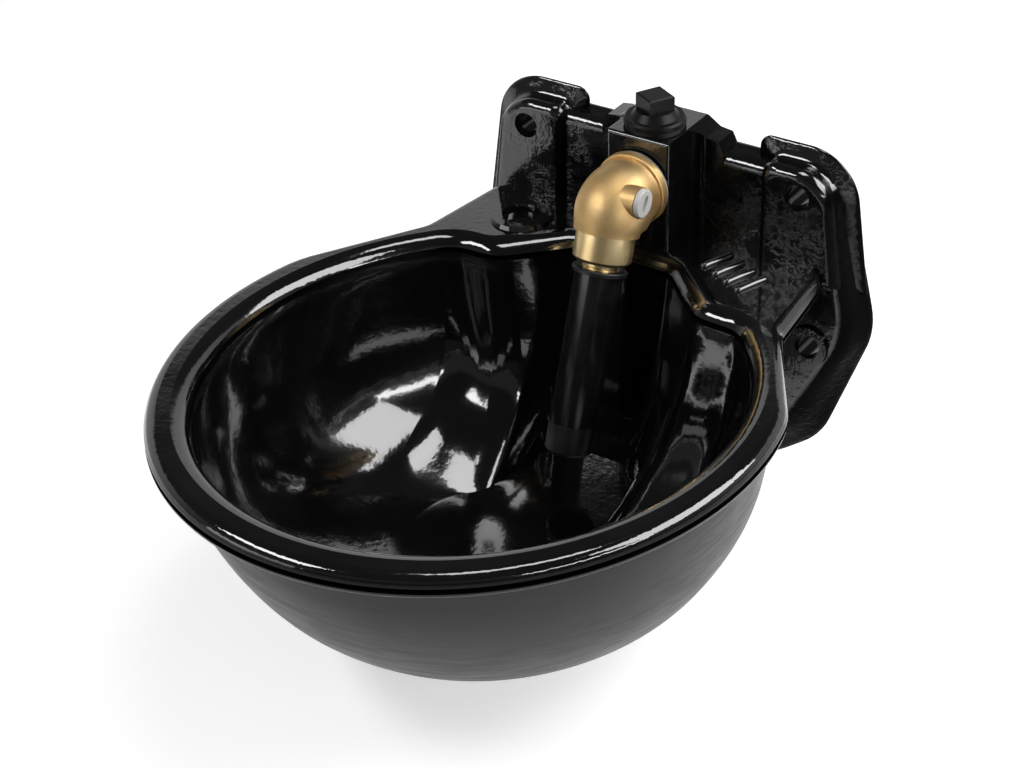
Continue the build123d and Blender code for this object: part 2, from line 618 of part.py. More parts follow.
with BuildPart() as elbow_gasket:
    with BuildSketch(Plane.XZ.offset(seat_y)):
        with Locations((0, VALVE_Z)):
            Circle(COLLAR_R - GASKET_INSET)
            Circle(SPIGOT_R + 2 * SPIGOT_FIT, mode=Mode.SUBTRACT)
    extrude(amount=GASKET_THICK)
save(elbow_gasket, "elbow_gasket")


def bend_plane(turn):
    """Plane across the elbow's middle line after turning down by this many degrees."""
    start_y = CORNER_Y + tangent
    angle = radians(turn)
    origin = (0, start_y - BEND_R * sin(angle), VALVE_Z - BEND_R * (1 - cos(angle)))
    return Plane(origin=origin, x_dir=(1, 0, 0), z_dir=(0, -cos(angle), -sin(angle)))


with BuildPart() as brass_elbow:
    with BuildSketch(Plane.XZ.offset(collar_y)):
        with Locations((0, VALVE_Z)):
            Circle(COLLAR_R)
    extrude(amount=COLLAR_LENGTH)
    fillet(brass_elbow.edges().group_by(Axis.Y)[0], COLLAR_EDGE)
    with BuildSketch(Plane.XZ.offset(collar_y + COLLAR_LENGTH - BEND_LAP)):
        with Locations((0, VALVE_Z)):
            Circle(ELBOW_R)
    for step in range(BEND_STEPS + 1):
        part_way = step / BEND_STEPS
        edge_r = lerp(ELBOW_R, SKIRT_R, part_way)
        belly = (ELBOW_BELLY_R - (ELBOW_R + SKIRT_R) / 2) * sin(pi * part_way)
        with BuildSketch(bend_plane(turn_total * part_way)):
            Circle(edge_r + belly)
    with BuildSketch(valve_plane(SKIRT_S)):
        Circle(SKIRT_R)
    loft()
    with BuildSketch(Plane.YZ.offset(ELBOW_R - SCREW_BOSS_DEEP)):
        with Locations((SCREW_Y, SCREW_Z)):
            Circle(SCREW_BOSS_R)
    extrude(amount=SCREW_FACE_X - ELBOW_R + SCREW_BOSS_DEEP)
    with BuildSketch(Plane.XZ.offset(seat_y - SPIGOT_LENGTH)):
        with Locations((0, VALVE_Z)):
            Circle(SPIGOT_R)
    extrude(amount=SPIGOT_LENGTH + GASKET_THICK + LAP / 2)
    # Water way: level bore, then the chamber down the tube axis
    with BuildSketch(Plane.XZ.offset(seat_y - SPIGOT_LENGTH)):
        with Locations((0, VALVE_Z)):
            Circle(INLET_BORE_R)
    extrude(amount=-CORNER_Y - seat_y + SPIGOT_LENGTH, mode=Mode.SUBTRACT)
    with BuildSketch(valve_plane(CHAMBER_S)):
        Circle(CHAMBER_R)
    extrude(amount=SEAT_S - CHAMBER_S, mode=Mode.SUBTRACT)
    with BuildSketch(valve_plane(SEAT_S)):
        Circle(SEAT_R + SPIGOT_FIT)
    extrude(amount=SKIRT_S - SEAT_S + LAP / 2, mode=Mode.SUBTRACT)
    with BuildSketch(Plane.YZ.offset(SCREW_FACE_X)):
        with Locations((SCREW_Y, SCREW_Z)):
            Circle(SCREW_BOSS_R)
    extrude(amount=SCREW_HEAD_HIGH + SCREW_BOSS_DEEP, mode=Mode.SUBTRACT)
    with BuildSketch(Plane.YZ.offset(SCREW_FACE_X)):
        with Locations((SCREW_Y, SCREW_Z)):
            Circle(SCREW_SHANK_R + SPIGOT_FIT)
    extrude(amount=SCREW_HOLE_X - SCREW_FACE_X, mode=Mode.SUBTRACT)
save(brass_elbow, "brass_elbow")


# ================================================================ flow screw
with BuildPart() as flow_screw:
    with BuildSketch(Plane.YZ.offset(SCREW_FACE_X + SCREW_GAP)):
        with Locations((SCREW_Y, SCREW_Z)):
            Circle(SCREW_HEAD_R)
    extrude(amount=SCREW_HEAD_HIGH)
    fillet(flow_screw.edges().group_by(Axis.X)[-1], SCREW_HEAD_EDGE)
    with BuildSketch(Plane.YZ.offset(SCREW_FACE_X + SCREW_GAP)):
        with Locations((SCREW_Y, SCREW_Z)):
            Circle(SCREW_SHANK_R)
    extrude(amount=SCREW_TIP_X - SCREW_FACE_X - SCREW_GAP)
    with BuildSketch(Plane.YZ.offset(SCREW_FACE_X + SCREW_GAP + SCREW_HEAD_HIGH)):
        with Locations(Location((SCREW_Y, SCREW_Z, 0), (0, 0, SLOT_TURN))):
            SlotOverall(SLOT_LONG, SLOT_WIDE)
    extrude(amount=-SLOT_DEEP, mode=Mode.SUBTRACT)
    with BuildSketch(Plane.YZ.offset(SCREW_RING_X - SCREW_RING_WIDE / 2)):
        with Locations((SCREW_Y, SCREW_Z)):
            Circle(SCREW_SHANK_R + LAP / 2)
            Circle(SCREW_SHANK_R - SCREW_RING_WIRE, mode=Mode.SUBTRACT)
    extrude(amount=SCREW_RING_WIDE, mode=Mode.SUBTRACT)
save(flow_screw, "flow_screw")

with BuildPart() as screw_ring:
    ring_mid = SCREW_SHANK_R - SCREW_RING_WIRE / 2
    with BuildSketch(Plane(origin=(SCREW_RING_X, SCREW_Y, SCREW_Z), x_dir=(0, 1, 0), z_dir=(0, 0, 1))):
        with Locations((ring_mid, 0)):
            RegularPolygon(SCREW_RING_WIRE / 2, RING_FLATS)
    revolve(axis=Axis((0, SCREW_Y, SCREW_Z), (1, 0, 0)))
save(screw_ring, "screw_ring")


# ================================================================ tube valve
def side_plane():
    """Upright plane through the tube axis: local x is the radius, local y runs down the tube."""
    down = Vector(0, -sin(radians(LEAN)), -cos(radians(LEAN)))
    return Plane(origin=(0, CORNER_Y, VALVE_Z), x_dir=(1, 0, 0), z_dir=Vector(1, 0, 0).cross(down))


tube_axis = Axis((0, CORNER_Y, VALVE_Z), (0, -sin(radians(LEAN)), -cos(radians(LEAN))))


def turned(profile):
    """Closed profile of (radius, S) points, drawn on the side plane for turning about the tube axis."""
    Polygon(*profile, align=None)


with BuildPart() as valve_seat:
    with BuildSketch(side_plane()):
        turned([(SEAT_HOLE_R, SEAT_S), (SEAT_HOLE_R + SEAT_LAND, SEAT_S),
                (SEAT_HOLE_R + SEAT_LAND + SEAT_NOSE, SEAT_S + SEAT_NOSE), (SEAT_R, SEAT_S + SEAT_NOSE),
                (SEAT_R, SEAT_S + SEAT_THICK), (SEAT_HOLE_R, SEAT_S + SEAT_THICK)])
    revolve(axis=tube_axis)
save(valve_seat, "valve_seat")

sleeve_top = SEAT_S + SEAT_THICK
sleeve_step = SKIRT_S + SLEEVE_GAP
cup_top = SKIRT_S + CUP_ROOF
cup_low = PIVOT_S + sqrt(CUP_R ** 2 - SLEEVE_LIP_R ** 2)
with BuildPart() as outlet_sleeve:
    with BuildSketch(side_plane()):
        turned([(SLEEVE_BORE_R, sleeve_top), (SLEEVE_THREAD_R, sleeve_top), (SLEEVE_THREAD_R, sleeve_step),
                (SLEEVE_R, sleeve_step), (SLEEVE_R, SLEEVE_END_S - SLEEVE_END_EDGE),
                (SLEEVE_R - SLEEVE_END_EDGE, SLEEVE_END_S), (SLEEVE_BORE_R, SLEEVE_END_S)])
    revolve(axis=tube_axis)
    with BuildSketch(valve_plane(cup_top)):
        Circle(CUP_R)
    extrude(amount=PIVOT_S - cup_top, mode=Mode.SUBTRACT)
    add(Sphere(CUP_R, mode=Mode.PRIVATE).moved(Location(valve_plane(PIVOT_S).origin)), mode=Mode.SUBTRACT)
    with BuildSketch(valve_plane(cup_low - LAP / 2)):
        Circle(SLEEVE_LIP_R)
    extrude(amount=SLEEVE_END_S - cup_low + LAP, mode=Mode.SUBTRACT)
    with BuildSketch(side_plane()):
        turned([(SLEEVE_THREAD_R - SLEEVE_RING_WIRE, SLEEVE_RING_S - SLEEVE_RING_WIRE / 2),
                (SLEEVE_THREAD_R + LAP / 2, SLEEVE_RING_S - SLEEVE_RING_WIRE / 2),
                (SLEEVE_THREAD_R + LAP / 2, SLEEVE_RING_S + SLEEVE_RING_WIRE / 2),
                (SLEEVE_THREAD_R - SLEEVE_RING_WIRE, SLEEVE_RING_S + SLEEVE_RING_WIRE / 2)])
    revolve(axis=tube_axis, mode=Mode.SUBTRACT)
save(outlet_sleeve, "outlet_sleeve")

with BuildPart() as sleeve_ring:
    with BuildSketch(side_plane()):
        with Locations((SLEEVE_THREAD_R - SLEEVE_RING_WIRE / 2, SLEEVE_RING_S)):
            RegularPolygon(SLEEVE_RING_WIRE / 2, RING_FLATS)
    revolve(axis=tube_axis)
save(sleeve_ring, "sleeve_ring")

with BuildPart() as swing_ring:
    with BuildSketch(valve_plane(PIVOT_S - RING_ABOVE)):
        Circle(RING_OUT_R + LAP / 2)
    extrude(amount=RING_ABOVE + RING_BELOW)
    centre = Location(valve_plane(PIVOT_S).origin)
    add(Sphere(RING_OUT_R, mode=Mode.PRIVATE).moved(centre), mode=Mode.INTERSECT)
    add(Sphere(BALL_R + BALL_FIT, mode=Mode.PRIVATE).moved(centre), mode=Mode.SUBTRACT)
save(swing_ring, "swing_ring")

with BuildPart() as tube_head:
    with BuildSketch(valve_plane(PIVOT_S - BALL_TOP)):
        Circle(BALL_R + LAP / 2)
    extrude(amount=BALL_TOP + BALL_R)
    add(Sphere(BALL_R, mode=Mode.PRIVATE).moved(Location(valve_plane(PIVOT_S).origin)), mode=Mode.INTERSECT)
    with BuildSketch(valve_plane(PIVOT_S)):
        Circle(NECK_R)
    extrude(amount=HEAD_SPIGOT_S - PIVOT_S)
    with BuildSketch(valve_plane(TUBE_TOP_S)):
        Circle(TUBE_BORE_R - SPIGOT_FIT)
    extrude(amount=HEAD_SPIGOT_S - TUBE_TOP_S)
    with BuildSketch(valve_plane(PIVOT_S - BALL_R)):
        Circle(HEAD_BORE_R)
    extrude(amount=HEAD_SPIGOT_S - PIVOT_S + BALL_R, mode=Mode.SUBTRACT)
save(tube_head, "tube_head")

with BuildPart() as drinking_tube:
    with BuildSketch(side_plane()):
        turned([(TUBE_BORE_R, TUBE_TOP_S), (TUBE_R, TUBE_TOP_S), (TUBE_LOW_R, TUBE_END_S),
                (TUBE_BORE_R, TUBE_END_S)])
    revolve(axis=tube_axis)
save(drinking_tube, "drinking_tube")

with BuildPart() as tube_collar:
    with BuildSketch(side_plane()):
        turned([(TUBE_R + SPIGOT_FIT, TUBE_TOP_S), (COLLAR_RING_R - COLLAR_RING_EDGE, TUBE_TOP_S),
                (COLLAR_RING_R, TUBE_TOP_S + COLLAR_RING_EDGE), (COLLAR_RING_R, TUBE_TOP_S + COLLAR_RING_HIGH),
                (TUBE_R + SPIGOT_FIT, TUBE_TOP_S + COLLAR_RING_HIGH)])
    revolve(axis=tube_axis)
save(tube_collar, "tube_collar")

nozzle_r = TUBE_LOW_R + NOZZLE_STEP
with BuildPart() as tube_nozzle:
    with BuildSketch(side_plane()):
        turned([(NOZZLE_BORE_R, TUBE_END_S - NOZZLE_PLUG), (TUBE_BORE_R - SPIGOT_FIT, TUBE_END_S - NOZZLE_PLUG),
                (TUBE_BORE_R - SPIGOT_FIT, TUBE_END_S), (nozzle_r, TUBE_END_S),
                (nozzle_r, NOZZLE_END_S - NOZZLE_EDGE_LONG), (TUBE_LOW_R - NOZZLE_EDGE_DEEP, NOZZLE_END_S),
                (NOZZLE_BORE_R, NOZZLE_END_S)])
    revolve(axis=tube_axis)
save(tube_nozzle, "tube_nozzle")

with BuildPart() as valve_stem:
    with BuildSketch(side_plane()):
        turned([(0, STEM_TOP_S), (STEM_R, STEM_TOP_S), (STEM_R, -CAP_THICK), (CAP_R, -CAP_THICK), (CAP_R, 0),
                (STEM_R, 0), (STEM_R, FOOT_S), (FOOT_R, FOOT_S), (FOOT_R, FOOT_S + FOOT_THICK),
                (0, FOOT_S + FOOT_THICK)])
    revolve(axis=tube_axis)
save(valve_stem, "valve_stem")

with BuildPart() as valve_disc:
    with BuildSketch(side_plane()):
        turned([(STEM_R + SPIGOT_FIT, 0), (DISC_R - DISC_EDGE, 0), (DISC_R, DISC_EDGE), (DISC_R, DISC_THICK),
                (STEM_R + SPIGOT_FIT, DISC_THICK)])
    revolve(axis=tube_axis)
save(valve_disc, "valve_disc")

spring_length = -CAP_THICK - STEM_TOP_S - 2 * SPRING_WIRE_R - 4 * SPRING_FIT
with BuildPart() as valve_spring:
    spring_start = valve_plane(-CAP_THICK - SPRING_WIRE_R - SPRING_FIT)
    with BuildLine():
        coil = Helix(pitch=spring_length / SPRING_TURNS, height=spring_length, radius=SPRING_R,
                     center=spring_start.origin, direction=-spring_start.z_dir)
    with BuildSketch(Plane(origin=coil @ 0, z_dir=coil % 0)):
        RegularPolygon(SPRING_WIRE_R, RING_FLATS)
    sweep()
save(valve_spring, "valve_spring")
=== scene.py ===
import json
from math import cos, pi, radians, sin

import bmesh
import bpy
from mathutils import Matrix, Vector


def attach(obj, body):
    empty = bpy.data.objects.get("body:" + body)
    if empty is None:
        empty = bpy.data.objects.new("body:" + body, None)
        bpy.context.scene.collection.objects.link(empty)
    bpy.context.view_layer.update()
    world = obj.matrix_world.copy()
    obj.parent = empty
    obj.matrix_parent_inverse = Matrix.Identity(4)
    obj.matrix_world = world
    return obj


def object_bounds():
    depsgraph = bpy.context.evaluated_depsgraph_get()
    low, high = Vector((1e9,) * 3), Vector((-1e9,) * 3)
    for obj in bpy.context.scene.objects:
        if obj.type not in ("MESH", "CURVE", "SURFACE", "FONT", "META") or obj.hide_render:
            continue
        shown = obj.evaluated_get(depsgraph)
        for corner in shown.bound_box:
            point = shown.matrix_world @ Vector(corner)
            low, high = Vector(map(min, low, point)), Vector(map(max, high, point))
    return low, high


# Livestock drinking bowl: enamelled casting, brass elbow valve and a swinging drinking tube.
# Metres, in the frame of the solids: +Y into the wall, +Z up, the bowl reaches towards -Y.

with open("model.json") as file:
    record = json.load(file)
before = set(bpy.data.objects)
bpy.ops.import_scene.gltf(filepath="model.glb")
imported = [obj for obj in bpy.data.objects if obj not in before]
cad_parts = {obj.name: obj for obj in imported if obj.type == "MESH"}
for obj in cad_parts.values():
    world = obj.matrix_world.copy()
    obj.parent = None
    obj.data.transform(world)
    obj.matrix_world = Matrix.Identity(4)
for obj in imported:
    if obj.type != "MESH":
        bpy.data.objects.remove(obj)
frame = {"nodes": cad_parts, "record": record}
solid_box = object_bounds()
nodes = frame["nodes"]

FLOAT = "NodeSocketFloat"
VECTOR = "NodeSocketVector"


def direction(azimuth, elevation):
    """Unit vector towards a viewpoint, from radians: azimuth 0 is in front, positive to the right."""
    return Vector((sin(azimuth) * cos(elevation), -cos(azimuth) * cos(elevation), sin(elevation)))


# ------------------------------------------------------------------ camera
CAMERA_AZIMUTH = 0.592792        # radians
CAMERA_ELEVATION = 0.565152
CAMERA_ROLL = -0.027658
CAMERA_AIM = Vector((0.01756, -0.16357, 0.0))
CAMERA_DISTANCE = 0.986492
CAMERA_SENSOR = 36.0             # millimetres, as the lens
CAMERA_LENS = 85.86
CAMERA_NEAREST = 0.01


def place_camera():
    back = direction(CAMERA_AZIMUTH, CAMERA_ELEVATION)
    right = Vector((cos(CAMERA_AZIMUTH), sin(CAMERA_AZIMUTH), 0))
    up = back.cross(right)
    rolled_right = cos(CAMERA_ROLL) * right + sin(CAMERA_ROLL) * up
    rolled_up = -sin(CAMERA_ROLL) * right + cos(CAMERA_ROLL) * up
    data = bpy.data.cameras.new("camera")
    data.sensor_width = CAMERA_SENSOR
    data.lens = CAMERA_LENS
    data.clip_start = CAMERA_NEAREST
    camera = bpy.data.objects.new("camera", data)
    turn = Matrix((rolled_right, rolled_up, back)).transposed().to_4x4()
    camera.matrix_world = Matrix.Translation(CAMERA_AIM + CAMERA_DISTANCE * back) @ turn
    bpy.context.scene.collection.objects.link(camera)
    bpy.context.scene.camera = camera


place_camera()


# ------------------------------------------------------------------ node helpers
class Nodes:
    """Short way to write a node tree: makes nodes, sets their inputs and joins them."""

    def __init__(self, tree):
        self.tree = tree

    def add(self, kind, settings=None, **inputs):
        node = self.tree.nodes.new(kind)
        for name, value in (settings or {}).items():
            setattr(node, name, value)
        for name, value in inputs.items():
            self.put(node.inputs[name.replace("_", " ")], value)
        return node

    def put(self, socket, value):
        if isinstance(value, bpy.types.NodeSocket):
            self.tree.links.new(value, socket)
        else:
            socket.default_value = value

    def math(self, operation, first, second=0.0, clamp=False):
        node = self.tree.nodes.new("ShaderNodeMath")
        node.operation = operation
        node.use_clamp = clamp
        self.put(node.inputs[0], first)
        self.put(node.inputs[1], second)
        return node.outputs[0]

    def chain(self, operation, values):
        result = values[0]
        for value in values[1:]:
            result = self.math(operation, result, value)
        return result

    def product(self, *values):
        return self.chain("MULTIPLY", values)

    def total(self, *values):
        return self.chain("ADD", values)

    def less(self, first, second):
        return self.math("SUBTRACT", first, second)

    def ramp(self, value, low, high, to_low=0.0, to_high=1.0):
        node = self.add("ShaderNodeMapRange", {"interpolation_type": "SMOOTHSTEP"})
        for name, number in (("Value", value), ("From Min", low), ("From Max", high),
                             ("To Min", to_low), ("To Max", to_high)):
            self.put(node.inputs[name], number)
        return node.outputs["Result"]

    def mix(self, factor, first, second):
        """Colour between two colours."""
        node = self.tree.nodes.new("ShaderNodeMix")
        node.data_type = "RGBA"
        self.put(node.inputs["Factor"], factor)
        self.put(node.inputs[6], first)
        self.put(node.inputs[7], second)
        return node.outputs[2]

    def blend(self, factor, first, second):
        """Number between two numbers."""
        node = self.tree.nodes.new("ShaderNodeMix")
        node.data_type = "FLOAT"
        for socket, value in zip(node.inputs[:1] + node.inputs[2:4], (factor, first, second)):
            self.put(socket, value)
        return node.outputs[0]

    def noise(self, where, scale, detail=3.0, rough=0.5):
        node = self.add("ShaderNodeTexNoise", Vector=where, Scale=scale, Detail=detail, Roughness=rough)
        return node.outputs["Fac"]

    def place(self):
        return self.add("ShaderNodeTexCoord").outputs["Object"]

    def parts(self, vector):
        return self.add("ShaderNodeSeparateXYZ", Vector=vector).outputs

    def stretched(self, where, scales):
        """The same place, squeezed along each axis so that a noise runs out in streaks."""
        node = self.add("ShaderNodeVectorMath", {"operation": "MULTIPLY"})
        self.put(node.inputs[0], where)
        self.put(node.inputs[1], scales)
        return node.outputs[0]


def new_group(name, inputs, outputs):
    group = bpy.data.node_groups.new(name, "ShaderNodeTree")
    for label, kind, value in inputs:
        socket = group.interface.new_socket(name=label, in_out="INPUT", socket_type=kind)
        if value is not None:
            socket.default_value = value
    for label, kind in outputs:
        group.interface.new_socket(name=label, in_out="OUTPUT", socket_type=kind)
    start = group.nodes.new("NodeGroupInput")
    end = group.nodes.new("NodeGroupOutput")
    return group, Nodes(group), start.outputs, end.inputs


def use_group(write, group, **inputs):
    node = write.tree.nodes.new("ShaderNodeGroup")
    node.node_tree = group
    for name, value in inputs.items():
        write.put(node.inputs[name.replace("_", " ")], value)
    return node.outputs


def new_material(name, **constants):
    material = bpy.data.materials.new(name)
    material.use_nodes = True
    write = Nodes(material.node_tree)
    shader = material.node_tree.nodes["Principled BSDF"]
    for label, value in constants.items():
        write.put(shader.inputs[label.replace("_", " ")], value)
    return material, write, shader


def raise_skin(write, shader, height, strength, depth):
    """Lets a height shape the surface; depth is in metres."""
    bump = write.add("ShaderNodeBump", Strength=strength, Distance=depth, Height=height)
    write.put(shader.inputs["Normal"], bump.outputs["Normal"])
    return bump.outputs["Normal"]


def grey(level):
    return (level, level, level, 1)


# ------------------------------------------------------------------ shared effects
LEAN = radians(19.5)                     # the tube hangs this far forward of plumb
CORNER = Vector((0, -0.0571, 0.0280))    # where the elbow's two axes meet
TUBE_DOWN = Vector((0, -sin(LEAN), -cos(LEAN)))


def make_surface_grain():
    """Fine unevenness: a height, and a slow patchy mask for colour and roughness."""
    group, write, start, end = new_group(
        "surface_grain",
        [("Place", VECTOR, None), ("Grain Scale", FLOAT, 900.0), ("Patch Scale", FLOAT, 40.0)],
        [("Height", FLOAT), ("Patch", FLOAT)])
    fine = write.noise(start["Place"], start["Grain Scale"], 4.0, 0.6)
    slow = write.noise(start["Place"], start["Patch Scale"], 3.0, 0.55)
    write.put(end["Height"], fine)
    write.put(end["Patch"], write.ramp(slow, 0.35, 0.65))
    return group


def make_tube_frame():
    """Distance down the tube axis from the elbow's corner, in metres, for turned pieces."""
    group, write, start, end = new_group("tube_frame", [("Place", VECTOR, None)], [("Down", FLOAT)])
    place = write.parts(start["Place"])
    forward = write.product(write.less(place["Y"], CORNER.y), TUBE_DOWN.y)
    downward = write.product(write.less(place["Z"], CORNER.z), TUBE_DOWN.z)
    write.put(end["Down"], write.total(forward, downward))
    return group


surface_grain = make_surface_grain()
tube_frame = make_tube_frame()


# ------------------------------------------------------------------ black enamel
BOWL_MIDDLE_Y = -0.150                   # a side of the bowl is what faces away from here
PLATE_SKIN_Y = (-0.046, -0.026)          # the plate's rougher skin fades in from front to back
UNDER_RIM_Z = (-0.006, -0.0115)          # the body's streaky skin fades in downwards
UNDER_RIM_TILT = (0.05, -0.12)           # and only where the surface faces down
UPRIGHT_TILT = (0.62, 0.28)
SIDEWAYS_LEAN = 0.8                      # how much an upward tilt takes from a sideways one
SIDEWAYS_TILT = (0.12, 0.45)
DRIP_STRETCH = (1.0, 1.0, 0.22)          # drips run down
STREAK_STRETCH = (0.12, 0.12, 1.0)       # streaks run round the body
ENAMEL_DEEP = ((0.0022, 0.0022, 0.0025, 1), (0.0036, 0.0036, 0.0040, 1))
ENAMEL_DULL = (grey(0.006), grey(0.011))


def enamel_regions(write, where):
    """Masks from 0 to 1 for the stretches of the casting whose enamel differs."""
    place = write.parts(where)
    facing = write.parts(write.add("ShaderNodeNewGeometry").outputs["Normal"])
    outward = write.total(write.product(facing["X"], place["X"]),
                          write.product(facing["Y"], write.less(place["Y"], BOWL_MIDDLE_Y)))
    upright = write.ramp(facing["Z"], *UPRIGHT_TILT)
    sideways = write.less(write.math("ABSOLUTE", facing["X"]), write.product(facing["Z"], SIDEWAYS_LEAN))
    below = write.product(write.ramp(facing["Z"], *UNDER_RIM_TILT), write.ramp(place["Z"], *UNDER_RIM_Z))
    plate = write.ramp(place["Y"], *PLATE_SKIN_Y)
    bowl_side = write.product(write.ramp(outward, 0.0, 0.05), upright)
    return {
        "plate": plate,
        "upright": upright,
        "cast_skin": write.product(plate, write.blend(upright, 0.12, 1.0)),
        "outside": write.product(below, write.less(1.0, plate)),
        "side": write.blend(plate, bowl_side, write.ramp(sideways, *SIDEWAYS_TILT)),
    }


def enamel_height(write, where, region, streaks):
    """Pits and drips on the plate, ripples and slow waves inside, streaks under the rim."""
    pitted = write.product(region["cast_skin"], write.ramp(write.noise(where, 38.0, 2.0), 0.42, 0.62))
    pits = write.ramp(write.noise(where, 330.0, 4.0, 0.6), 0.34, 0.56)
    drips = write.noise(write.stretched(where, DRIP_STRETCH), 150.0, 3.0, 0.55)
    ripple = write.noise(where, 330.0)
    waves = write.noise(where, 24.0, 2.0, 0.4)
    rough = write.total(write.product(pitted, 0.55, pits),
                        write.product(region["cast_skin"], 0.75, drips),
                        write.product(streaks, write.blend(region["outside"], 0.0, 0.22)))
    smooth = write.total(write.product(ripple, write.blend(region["outside"], 0.16, 0.03)),
                         write.product(waves, 0.7))
    return write.total(rough, smooth)


def enamel_gloss(write, shader, region, streaks, patch):
    """Roughness, and a clear coat that thins out on upright sides."""
    satin = write.ramp(streaks, 0.3, 0.7, 0.30, 0.42)
    gloss = write.blend(region["outside"], write.blend(region["plate"], 0.09, 0.12), satin)
    write.put(shader.inputs["Roughness"], write.total(gloss, write.product(patch, 0.03)))
    plate_side = write.product(region["plate"], region["upright"], 0.45)
    bare = write.math("MAXIMUM", region["side"], plate_side)
    write.put(shader.inputs["Coat Weight"], write.math("SUBTRACT", 1.0, bare, clamp=True))
    thinning = write.blend(region["plate"], write.blend(region["outside"], 0.36, 0.25), 0.48)
    write.put(shader.inputs["Specular IOR Level"],
              write.less(0.5, write.product(region["side"], thinning)))


def black_enamel():
    """Glossy fired enamel: pitted on the plate, rippled inside, satin and streaky under the rim."""
    material, write, shader = new_material("black_enamel", Coat_Roughness=0.03, Coat_IOR=1.6)
    where = write.place()
    region = enamel_regions(write, where)
    grain = use_group(write, surface_grain, Place=where, Grain_Scale=2200.0, Patch_Scale=30.0)
    streaks = write.noise(write.stretched(where, STREAK_STRETCH), 420.0, 4.0, 0.6)
    skin = raise_skin(write, shader, enamel_height(write, where, region, streaks), 0.5, 0.0005)
    write.put(shader.inputs["Coat Normal"], skin)
    enamel_gloss(write, shader, region, streaks, grain["Patch"])
    deep = write.mix(grain["Patch"], *ENAMEL_DEEP)
    dull = write.mix(write.ramp(streaks, 0.35, 0.65), *ENAMEL_DULL)
    write.put(shader.inputs["Base Color"], write.mix(region["outside"], deep, dull))
    return material


# ------------------------------------------------------------------ metals
CAST_BRASS_DARK = (0.66, 0.44, 0.19, 1)
CAST_BRASS_LIGHT = (0.75, 0.53, 0.26, 1)
CAST_BRASS_SPECK = (0.62, 0.40, 0.17, 1)
TURNED_BRASS_DARK = (0.90, 0.67, 0.33, 1)
TURNED_BRASS_LIGHT = (0.96, 0.76, 0.42, 1)
STEEL_DARK = grey(0.50)
STEEL_LIGHT = (0.62, 0.62, 0.61, 1)


def cast_brass():
    """Sand-cast brass: fine-grained and soft, a little darker in patches."""
    material, write, shader = new_material("cast_brass", Metallic=1.0)
    where = write.place()
    grain = use_group(write, surface_grain, Place=where, Grain_Scale=1500.0, Patch_Scale=70.0)
    speckle = write.noise(where, 900.0, 3.0, 0.7)
    warm = write.mix(grain["Patch"], CAST_BRASS_DARK, CAST_BRASS_LIGHT)
    write.put(shader.inputs["Base Color"],
              write.mix(write.ramp(speckle, 0.22, 0.42), CAST_BRASS_SPECK, warm))
    write.put(shader.inputs["Roughness"], write.blend(grain["Patch"], 0.52, 0.46))
    raise_skin(write, shader, write.total(grain["Height"], write.product(speckle, 0.6)), 0.22, 0.0002)
    return material


def machined_brass():
    """Turned brass with fine tool rings round the tube axis."""
    material, write, shader = new_material("machined_brass", Metallic=1.0)
    where = write.place()
    turned = use_group(write, tube_frame, Place=where)
    along = write.add("ShaderNodeCombineXYZ", X=turned["Down"], Y=0.0, Z=0.0).outputs[0]
    grain = use_group(write, surface_grain, Place=where, Grain_Scale=900.0, Patch_Scale=110.0)
    write.put(shader.inputs["Base Color"],
              write.mix(grain["Patch"], TURNED_BRASS_DARK, TURNED_BRASS_LIGHT))
    write.put(shader.inputs["Roughness"], write.blend(grain["Patch"], 0.36, 0.30))
    raise_skin(write, shader, write.noise(along, 5200.0, 2.0), 0.12, 0.0001)
    return material


def stainless():
    material, write, shader = new_material("stainless", Metallic=1.0)
    grain = use_group(write, surface_grain, Place=write.place(), Grain_Scale=2200.0, Patch_Scale=90.0)
    write.put(shader.inputs["Base Color"], write.mix(grain["Patch"], STEEL_DARK, STEEL_LIGHT))
    write.put(shader.inputs["Roughness"], write.blend(grain["Patch"], 0.24, 0.32))
    return material


# ------------------------------------------------------------------ plastic, rubber and fibre
PATCH_ROUGHER = 0.07                     # patches are rougher than the rest by this much


def moulded(name, dark, light, roughness, depth=0.15, specular=0.5):
    """Moulded plastic, rubber or pressed fibre with a fine skin."""
    material, write, shader = new_material(name, Specular_IOR_Level=specular)
    grain = use_group(write, surface_grain, Place=write.place(), Grain_Scale=1800.0, Patch_Scale=60.0)
    write.put(shader.inputs["Base Color"], write.mix(grain["Patch"], dark, light))
    write.put(shader.inputs["Roughness"],
              write.blend(grain["Patch"], roughness, roughness + PATCH_ROUGHER))
    raise_skin(write, shader, grain["Height"], depth, 0.0002)
    return material


FINISHES = {
    "black_enamel": black_enamel(),
    "cast_brass": cast_brass(),
    "machined_brass": machined_brass(),
    "white_plastic": moulded("white_plastic", (0.54, 0.54, 0.52, 1), (0.62, 0.62, 0.60, 1), 0.42),
    "black_plastic": moulded("black_plastic", grey(0.004), grey(0.007), 0.15, depth=0.06),
    "black_rubber": moulded("black_rubber", grey(0.004), grey(0.008), 0.38),
    "grey_fibre": moulded("grey_fibre", (0.20, 0.20, 0.19, 1), (0.34, 0.34, 0.32, 1), 0.75),
    "stainless": stainless(),
}
PLUG_FINISH = moulded("plug_plastic", grey(0.004), grey(0.008), 0.30, specular=0.15)


def dress_nodes():
    slot_of = {row["node"]: row["material_slot"] for row in frame["record"]["subparts"]}
    for name, node in nodes.items():
        for slot in node.material_slots:
            slot.material = PLUG_FINISH if name == "top_plug" else FINISHES[slot_of[name]]


dress_nodes()


